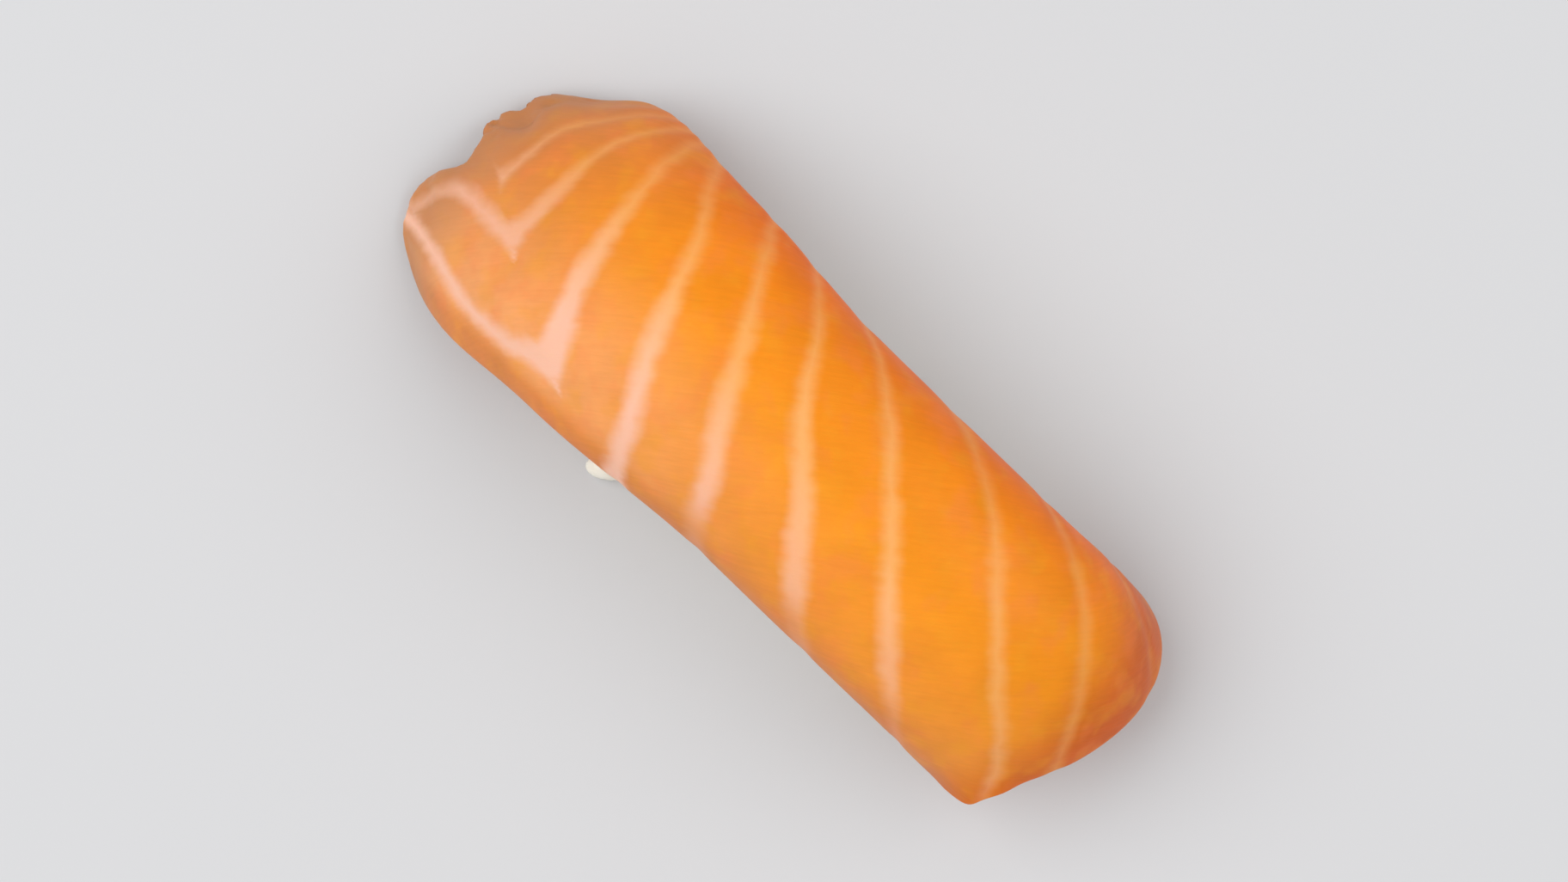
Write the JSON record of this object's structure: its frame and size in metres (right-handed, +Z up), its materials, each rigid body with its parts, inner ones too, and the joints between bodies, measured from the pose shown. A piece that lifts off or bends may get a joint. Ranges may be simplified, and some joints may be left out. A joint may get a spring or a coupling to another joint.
{
  "type": "salmon nigiri",
  "caption": "Piece of sushi: a slice of raw salmon with white fat lines, draped over a pressed block of rice.",
  "frame": {"origin": "under the middle of the nigiri's box, on the surface that it stands on", "axes": "+X along the nigiri, from the slice's thin tip to its square-cut end; +Y across it; +Z up"},
  "size_m": [0.0838, 0.0302, 0.0264],
  "materials": {
    "raw_salmon": "moist raw salmon, orange with cream fat lines, soft sheen",
    "sushi_rice": "cooked short-grain rice, white, slightly sticky and translucent"
  },
  "bodies": {
    "root": {"salmon_slice": "raw_salmon", "rice": "sushi_rice"}
  },
  "joints": []
}
